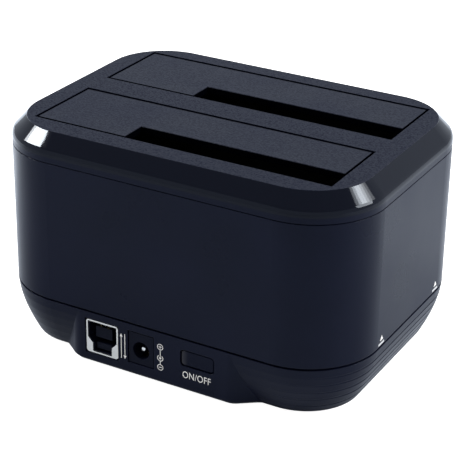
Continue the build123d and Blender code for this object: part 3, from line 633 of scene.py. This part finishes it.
def shell_steel():
    """Nickel-plated sheet, rolled along the socket."""
    return metal(
        "shell_steel", (0.88, 0.85, 0.79),
        roughness=0.2, grain=0.25 * mm, stretch=(1, 0.2, 1), depth=0.002 * mm,
    )


def crystal_steel():
    """The crystal's drawn can."""
    return metal(
        "crystal_steel", (0.72, 0.72, 0.72),
        roughness=0.22, grain=0.3 * mm, stretch=(1, 1, 0.4), depth=0.002 * mm,
    )


def can_aluminium():
    """The capacitors' aluminium cans."""
    return metal(
        "can_aluminium", (0.78, 0.79, 0.81),
        roughness=0.3, grain=0.3 * mm, stretch=(1, 1, 0.3), depth=0.002 * mm,
    )


def board_laminate():
    """Green solder mask with copper lines faintly showing through it."""
    material, tree, shader = new_material("board_laminate")
    place = object_place(tree)
    cells = add_node(
        tree, "ShaderNodeTexVoronoi", distance="MANHATTAN", feature="F1", Scale=board_line_scale
    )
    tree.links.new(place, cells.inputs["Vector"])
    lines = spread(tree, cells.outputs["Distance"], *board_line_edge, 0, 1)
    colours = blend_colours(tree, lines, mask_on_laminate, mask_on_copper)
    tree.links.new(colours, shader.inputs["Base Color"])
    gloss = spread(tree, noise(tree, place, scale=300), *wide_noise, *board_roughness)
    tree.links.new(gloss, shader.inputs["Roughness"])
    add_bump(tree, shader, lines, board_line_height)
    return material


finishes = {
    make.__name__: make()
    for make in (
        cover_plastic, housing_plastic, well_plastic, socket_plastic, plunger_plastic, foot_rubber,
        chip_plastic, coil_ferrite, printed_ink, lamp_plastic, pipe_plastic, screw_steel, pin_steel,
        contact_metal, jack_pin_metal, shell_steel, crystal_steel, can_aluminium, board_laminate,
    )
}
own_finishes = {
    "near_bay_flap": flap_plastic("near"),
    "far_bay_flap": flap_plastic("far"),
    "power_button": key_plastic(),
}

slots = {part["node"]: part["material_slot"] for part in frame["record"]["subparts"]}
for node_name, node_object in frame["nodes"].items():
    finish = own_finishes.get(node_name) or finishes[slots[node_name]]
    node_object.data.materials.clear()
    node_object.data.materials.append(finish)


# Mesh helpers

def body_of_node(node):
    """The body that a node rides on."""
    for body, nodes in frame["record"]["behaviour"]["bodies"].items():
        if node in nodes:
            return body
    return "dock"


def add_piece(name, mesh, body, finish, stands_for=()):
    """Puts a mesh in the scene as a piece that rides on a body."""
    piece = bpy.data.objects.new(name, mesh)
    bpy.context.scene.collection.objects.link(piece)
    mesh.materials.append(finishes[finish])
    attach(piece, body)
    if stands_for:
        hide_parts(*stands_for)


def mesh_from(name, build):
    """A mesh filled by a function that gets an empty bmesh."""
    work = bmesh.new()
    build(work)
    bmesh.ops.recalc_face_normals(work, faces=work.faces)
    mesh = bpy.data.meshes.new(name)
    work.to_mesh(mesh)
    work.free()
    return mesh


def helper_object(name, build):
    """An object that only serves to make a piece's mesh."""
    helper = bpy.data.objects.new(name, mesh_from(name, build))
    bpy.context.scene.collection.objects.link(helper)
    return helper


def final_mesh(helper):
    """The finished mesh of a helper object, which is then removed."""
    graph = bpy.context.evaluated_depsgraph_get()
    mesh = bpy.data.meshes.new_from_object(helper.evaluated_get(graph))
    bpy.data.objects.remove(helper)
    return mesh


def smooth(mesh, angle=35):
    """Smooth shading that keeps edges sharper than an angle."""
    for face in mesh.polygons:
        face.use_smooth = True
    mesh.set_sharp_from_angle(angle=math.radians(angle))


def add_rings(work, rings):
    """Joins rings of equally many points into one closed skin."""
    loops = [[work.verts.new(p) for p in ring] for ring in rings]
    count = len(loops[0])
    for low, high in zip(loops, loops[1:]):
        for i in range(count):
            j = (i + 1) % count
            work.faces.new((low[i], low[j], high[j], high[i]))
    work.faces.new(loops[0])
    work.faces.new(loops[-1])


def add_slabs(work, outlines):
    """Slabs as thick as ink on both sides of level 0, from outlines in X and Y."""
    for outline in outlines:
        add_rings(work, [[(x, y, z) for x, y in outline] for z in (-ink_height, ink_height)])


def circle(radius, height, steps):
    """Points of one level ring."""
    return [
        Vector((radius * math.cos(t), radius * math.sin(t), height))
        for t in (2 * math.pi * i / steps for i in range(steps))
    ]


def block(x, y, half_x, half_y):
    """A four-sided outline round a point."""
    return [
        (x - half_x, y - half_y), (x + half_x, y - half_y),
        (x + half_x, y + half_y), (x - half_x, y + half_y),
    ]


# Printed marks

def on_pad(mesh, box):
    """Lays a flat mark on the port pad, stretched to a box of x and z limits."""
    xs = [v.co.x for v in mesh.vertices]
    ys = [v.co.y for v in mesh.vertices]
    x0, x1, z0, z1 = box
    wide = (x1 - x0) / (max(xs) - min(xs))
    tall = (z1 - z0) / (max(ys) - min(ys))
    face_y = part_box("base_shell")[0].y
    low_x, low_y = min(xs), min(ys)
    for v in mesh.vertices:
        v.co = Vector((x0 + (v.co.x - low_x) * wide, face_y - v.co.z, z0 + (v.co.y - low_y) * tall))


def words_mesh(name, words):
    """Words as a mesh, from the built-in font."""
    curve = bpy.data.curves.new(name, "FONT")
    curve.body = words
    curve.extrude = ink_height
    curve.space_character = switch_words_spacing
    holder = bpy.data.objects.new(name + "_holder", curve)
    bpy.context.scene.collection.objects.link(holder)
    mesh = final_mesh(holder)
    bpy.data.curves.remove(curve)
    mesh.name = name
    return mesh


def arrow(x, low, high, shaft=0.13, head=0.55, head_length=1.21):
    """An arrow's outline that points along Y; low above high points down."""
    neck = high - math.copysign(head_length, high - low)
    return [
        (x - shaft, low), (x + shaft, low), (x + shaft, neck), (x + head, neck),
        (x, high), (x - head, neck), (x - shaft, neck),
    ]


def ring_outlines(x, y, radius, line, start=0, end=360, steps=28):
    """A ring, or an open arc of one, as short four-sided outlines."""
    outlines = []
    for i in range(steps):
        a = math.radians(start + (end - start) * i / steps)
        b = math.radians(start + (end - start) * (i + 1) / steps)
        outlines.append([
            (x + (radius - line) * math.cos(a), y + (radius - line) * math.sin(a)),
            (x + radius * math.cos(a), y + radius * math.sin(a)),
            (x + radius * math.cos(b), y + radius * math.sin(b)),
            (x + (radius - line) * math.cos(b), y + (radius - line) * math.sin(b)),
        ])
    return outlines


def data_mark():
    """Two opposed arrows, the general sign for data both ways."""
    left, right, length = 0.6, 1.9, 9.0
    return [arrow(left, 0, length), arrow(right, length, 0)]


def power_mark():
    """The general sign for a plug with its centre positive: minus, cup with dot, plus."""
    x, radius, line, dot = 1.1, 1.1, 0.22, 0.42
    minus_y, cup_y, plus_y = 1.1, 4.4, 8.4
    half_stroke, half_line = radius / 2, line / 2
    cup_start, cup_end = -235, 55
    minus_link_y = (minus_y + cup_y) / 2
    plus_link_y = (cup_y + plus_y - radius) / 2
    return [
        *ring_outlines(x, minus_y, radius, line),
        block(x, minus_y, half_stroke, half_line),
        *ring_outlines(x, plus_y, radius, line),
        block(x, plus_y, half_stroke, half_line),
        block(x, plus_y, half_line, half_stroke),
        block(x, minus_link_y, half_line, half_stroke),
        *ring_outlines(x, cup_y, radius, line, cup_start, cup_end),
        *ring_outlines(x, cup_y, dot, dot, steps=12),
        block(x, plus_link_y, half_line, plus_link_y - cup_y),
    ]


def lamp_mark(bay):
    """A triangle on the +X end, over the window of one bay's light pipe."""
    low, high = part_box(bay + "_light_pipe")
    middle = (low.y + high.y) / 2
    foot_z = high.z + lamp_mark_gap
    half = lamp_mark_width / 2
    triangle = [(-half, 0), (half, 0), (0, lamp_mark_height)]
    mesh = mesh_from(bay + "_lamp_mark", lambda work: add_slabs(work, [triangle]))
    for v in mesh.vertices:
        v.co = Vector((cad_high.x + v.co.z, middle + v.co.x, foot_z + v.co.y))
    return mesh


def port_mark(name, outlines, box):
    """A mark of flat outlines on the port pad."""
    mesh = mesh_from(name, lambda work: add_slabs(work, outlines))
    on_pad(mesh, box)
    return mesh


def printed_marks():
    """All that is printed on the housing."""
    words = words_mesh("switch_words", switch_words)
    on_pad(words, switch_words_box)
    marks = [
        words,
        port_mark("data_socket_mark", data_mark(), data_mark_box),
        port_mark("power_jack_mark", power_mark(), power_mark_box),
        lamp_mark("near"),
        lamp_mark("far"),
    ]
    for mesh in marks:
        add_piece(mesh.name, mesh, "dock", "printed_ink")


printed_marks()


# Screws

def screw_shank(work, radius, length):
    """A threaded shank from level 0 up, with a tapered tip."""
    rows = max(2, round(length / thread_pitch * thread_rows_per_turn))
    rings = []
    for row in range(rows + 1):
        z = length * row / rows
        tip = min(1, (length - z) / (2 * radius) + screw_tip_share)
        ring = []
        for i in range(thread_steps):
            share = (z / thread_pitch - i / thread_steps) % 1
            crest = max(0, 1 - abs(share - 0.5) * thread_sharpness)
            r = (radius - thread_depth * (1 - crest)) * tip
            turn = 2 * math.pi * i / thread_steps
            ring.append(Vector((r * math.cos(turn), r * math.sin(turn), z)))
        rings.append(ring)
    add_rings(work, rings)


def head_dome(work, radius, height):
    """Fills a mesh with the domed head, below level 0."""
    rings = []
    for share in dome_shares:
        lean = math.radians(90 * share)
        r = radius * (dome_flat + (1 - dome_flat) * math.sin(lean))
        z = -height * (dome_rim + (1 - dome_rim) * math.cos(lean))
        rings.append(circle(r, z, head_steps))
    rings.append(circle(radius, 0, head_steps))
    add_rings(work, rings)


def head_recess(work, radius, height):
    """Fills a mesh with the cross that is cut into the head, from below it up."""
    long, thin = radius * recess_length, radius * recess_width
    for half_x, half_y in ((long, thin), (thin, long)):
        mouth = block(0, 0, half_x, half_y)
        bottom = block(0, 0, half_x * recess_taper, half_y * recess_taper)
        add_rings(work, [
            [(x, y, -height * recess_start) for x, y in mouth],
            [(x, y, -height * recess_end) for x, y in bottom],
        ])


def screw_head(radius, height):
    """A domed head below level 0 with a cross recess cut in it."""
    head = helper_object("head", lambda work: head_dome(work, radius, height))
    cutter = helper_object("cutter", lambda work: head_recess(work, radius, height))
    boolean = head.modifiers.new("recess", "BOOLEAN")
    boolean.operation = "DIFFERENCE"
    boolean.solver = "EXACT"
    boolean.use_self = True
    boolean.object = cutter
    mesh = final_mesh(head)
    bpy.data.objects.remove(cutter)
    return mesh


def screw_places(node, head_radius):
    """The places of one node's four screws, whose heads touch the corners of its box."""
    low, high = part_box(node)
    return [
        (x, y)
        for y in (low.y + head_radius, high.y - head_radius)
        for x in (low.x + head_radius, high.x - head_radius)
    ]


def screw_set(node, sizes, upward):
    """All screws of one node, as one piece: each head outside its seat, each shank inside."""
    low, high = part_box(node)
    seat_z = low.z + sizes.head_height if upward else high.z - sizes.head_height
    length = high.z - seat_z if upward else seat_z - low.z
    head = screw_head(sizes.head_radius, sizes.head_height)
    shank = mesh_from("shank", lambda work: screw_shank(work, sizes.shank_radius, length))
    turn = Matrix.Identity(4) if upward else Matrix.Rotation(math.pi, 4, "X")

    def build(work):
        for x, y in screw_places(node, sizes.head_radius):
            for mesh in (head, shank):
                start = len(work.verts)
                work.from_mesh(mesh)
                work.verts.ensure_lookup_table()
                move = Matrix.Translation((x, y, seat_z)) @ turn
                bmesh.ops.transform(work, matrix=move, verts=work.verts[start:])

    mesh = mesh_from(node + "_detail", build)
    smooth(mesh, screw_smooth_angle)
    for used in (head, shank):
        bpy.data.meshes.remove(used)
    add_piece(node + "_detail", mesh, body_of_node(node), "screw_steel", [node])


screw_set("case_screws", case_screw, upward=True)
screw_set("board_screws", board_screw, upward=False)
screw_set("well_screws", well_screw, upward=True)


# Feet and the jack's pin

def turned(name, profile, steps, centre, axis="Z"):
    """A round piece from a profile of radius and height."""
    mesh = mesh_from(name, lambda work: add_rings(work, [circle(r, h, steps) for r, h in profile]))
    if axis == "Y":
        mesh.transform(Matrix.Rotation(-math.pi / 2, 4, "X"))
    mesh.transform(Matrix.Translation(centre))
    smooth(mesh)
    return mesh


def rounded_profile(radius, low, high, rounding, steps=6):
    """A solid round block whose lower edge is rounded."""
    points = []
    for i in range(steps + 1):
        lean = math.pi / 2 * i / steps
        r = radius - rounding * (1 - math.sin(lean))
        points.append((r, low + rounding * (1 - math.cos(lean))))
    return points + [(radius, high)]


def foot(node):
    """One round rubber foot with a shallow dish under it."""
    low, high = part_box(node)
    radius = (high.x - low.x) / 2
    centre = ((low.x + high.x) / 2, (low.y + high.y) / 2, 0)
    dish = [(radius * share, low.z + depth) for share, depth in foot_dish]
    profile = dish + rounded_profile(radius, low.z, high.z, foot_rounding)
    mesh = turned(node + "_rubber", profile, foot_steps, centre)
    add_piece(node + "_rubber", mesh, "dock", "foot_rubber", [node])


def jack_pin():
    """The jack's pin with its rounded nose."""
    low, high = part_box("power_jack_pin")
    radius = (high.x - low.x) / 2
    profile = rounded_profile(radius, 0, high.y - low.y, radius * pin_nose_share, pin_nose_steps)
    centre = ((low.x + high.x) / 2, low.y, (low.z + high.z) / 2)
    mesh = turned("power_jack_pin_turned", profile, pin_steps, centre, "Y")
    add_piece(
        "power_jack_pin_turned", mesh, "dock", "jack_pin_metal", ["power_jack_pin"]
    )


for end in ("left", "right"):
    for side in ("front", "rear"):
        foot("foot_" + side + "_" + end)
jack_pin()


# Lamps, room and floor

def towards(azimuth, elevation):
    """The direction of a point in the room, seen from the object."""
    a, e = math.radians(azimuth), math.radians(elevation)
    return Vector((math.cos(a) * math.cos(e), math.sin(a) * math.cos(e), math.sin(e)))


def softbox(name, start, end, width, radiance):
    """A long softbox between two directions, width in degrees, aimed at the object."""
    first, last = towards(*start), towards(*end)
    out = (first + last).normalized()
    along = last - first
    data = bpy.data.lights.new(name, "AREA")
    data.shape = "RECTANGLE"
    data.size = along.length * lamp_distance
    data.size_y = 2 * math.tan(math.radians(width / 2)) * lamp_distance
    data.energy = 4 * radiance * data.size * data.size_y
    lamp = bpy.data.objects.new(name, data)
    across = (along - along.dot(out) * out).normalized()
    basis = Matrix((across, out.cross(across), out)).transposed()
    middle = (cad_low + cad_high) / 2
    lamp.matrix_world = Matrix.Translation(middle + out * lamp_distance) @ basis.to_4x4()
    bpy.context.scene.collection.objects.link(lamp)


def softboxes():
    """At the left a long box and its weaker end, at the right a chain of short ones and a low one."""
    softbox("left_softbox", start=(-174.0, 29.5), end=(-151.5, 43.0), width=5.0, radiance=60.0)
    softbox("left_softbox_edge", start=(-178.0, 27.0), end=(-174.0, 29.5), width=5.0, radiance=22.0)
    start = Vector(right_softbox_start)
    for index, radiance in enumerate(right_softbox_radiance):
        end = start + Vector(right_softbox_step)
        softbox("right_softbox_" + str(index + 1), start, end, width=6.0, radiance=radiance)
        start = end
    softbox("low_softbox", start=(7.0, 31.5), end=(33.0, 23.5), width=15.0, radiance=15.0)


def clear_ray(tree, paths):
    """1 for what the camera sees, straight or through clear parts."""
    straight, through = paths.outputs["Is Camera Ray"], paths.outputs["Is Transmission Ray"]
    return calculate(tree, "MAXIMUM", straight, through)


def mirrored_colour(tree, paths):
    """White, but the mirrors' tint for what mirrors see."""
    return blend_colours(tree, paths.outputs["Is Glossy Ray"], (1, 1, 1), mirror_tint)


def room():
    """White for the camera, a pale horizon and dim ceiling for mirrors, plain light for the rest."""
    world = bpy.data.worlds.new("room")
    bpy.context.scene.world = world
    world.use_nodes = True
    tree = world.node_tree
    background = tree.nodes["Background"]
    paths = tree.nodes.new("ShaderNodeLightPath")
    height = coordinate(tree, tree.nodes.new("ShaderNodeTexCoord").outputs["Generated"], "Z")
    horizon = math.sin(math.radians(horizon_top))
    ceiling = math.sin(math.radians(ceiling_foot))
    mirrored_glow = spread(tree, height, horizon, ceiling, horizon_glow, ceiling_glow)
    glow = blend_values(tree, paths.outputs["Is Glossy Ray"], room_glow, mirrored_glow)
    strength = blend_values(tree, clear_ray(tree, paths), glow, 1.0)
    tree.links.new(strength, background.inputs["Strength"])
    tree.links.new(mirrored_colour(tree, paths), background.inputs["Color"])


def floor_seen_glow(tree, place, paths):
    """The glow that turns the floor white for the camera, left out under the object."""
    under = inside_mask(tree, place, cad_low, cad_high, (floor_shade_margin,) * 4)
    return product(tree, clear_ray(tree, paths), spread(tree, under, 0, 1, floor_white, 0))


def floor_mirrored_glow(tree, place, paths):
    """The glow that mirrors see in the floor, by where it lies."""
    x, y = coordinate(tree, place, "X"), coordinate(tree, place, "Y")
    sideways = calculate(tree, "ABSOLUTE", x, 0)
    reach = total(tree, product(tree, sideways, floor_mirror_side_share), y)
    behind = spread(tree, reach, floor_mirror_from, floor_mirror_to, 0, 1)
    back = spread(tree, x, floor_mirror_left_end, 0, floor_mirror_left, floor_mirror_back)
    glow = total(tree, product(tree, behind, back), floor_mirror_front)
    return product(tree, paths.outputs["Is Glossy Ray"], glow)


def floor_paper():
    """Pale paper: plain for the object's shadow, and glowing for the camera and for mirrors."""
    material = bpy.data.materials.new("floor_paper")
    material.use_nodes = True
    tree = material.node_tree
    tree.nodes.clear()
    place = object_place(tree)
    paths = tree.nodes.new("ShaderNodeLightPath")
    tint = mirrored_colour(tree, paths)

    fibres = noise(tree, place, floor_fibre_scale, detail=4)
    darkest = floor_albedo * (1 - floor_fibre_share)
    pale = blend_colours(tree, fibres, (darkest,) * 3, (floor_albedo,) * 3)
    diffuse = tree.nodes.new("ShaderNodeBsdfDiffuse")
    tree.links.new(combine_colours(tree, "MULTIPLY", pale, tint), diffuse.inputs["Color"])

    glow = tree.nodes.new("ShaderNodeEmission")
    strength = total(tree, floor_seen_glow(tree, place, paths), floor_mirrored_glow(tree, place, paths))
    tree.links.new(tint, glow.inputs["Color"])
    tree.links.new(strength, glow.inputs["Strength"])

    both = tree.nodes.new("ShaderNodeAddShader")
    tree.links.new(diffuse.outputs[0], both.inputs[0])
    tree.links.new(glow.outputs[0], both.inputs[1])
    output = tree.nodes.new("ShaderNodeOutputMaterial")
    tree.links.new(both.outputs[0], output.inputs["Surface"])
    return material


def studio_floor():
    """A round floor under the object."""
    def build(work):
        work.faces.new([work.verts.new(p) for p in circle(floor_radius, 0, floor_steps)])

    mesh = mesh_from("floor", build)
    mesh.materials.append(floor_paper())
    floor = bpy.data.objects.new("floor", mesh)
    bpy.context.scene.collection.objects.link(floor)


softboxes()
room()
studio_floor()


# Camera

def photograph_camera():
    """The camera in the place that the photograph was taken from."""
    data = bpy.data.cameras.new("camera")
    data.lens = camera_lens
    data.sensor_width = camera_sensor
    data.clip_start = camera_nearest
    camera = bpy.data.objects.new("camera", data)
    camera.location = camera_place
    camera.rotation_mode = "QUATERNION"
    upright = Vector(camera_aim).to_track_quat("-Z", "Y")
    camera.rotation_quaternion = upright @ Quaternion((0, 0, 1), math.radians(camera_roll))
    bpy.context.scene.collection.objects.link(camera)
    return camera


bpy.context.scene.camera = photograph_camera()
bpy.context.scene.view_settings.view_transform = "Standard"
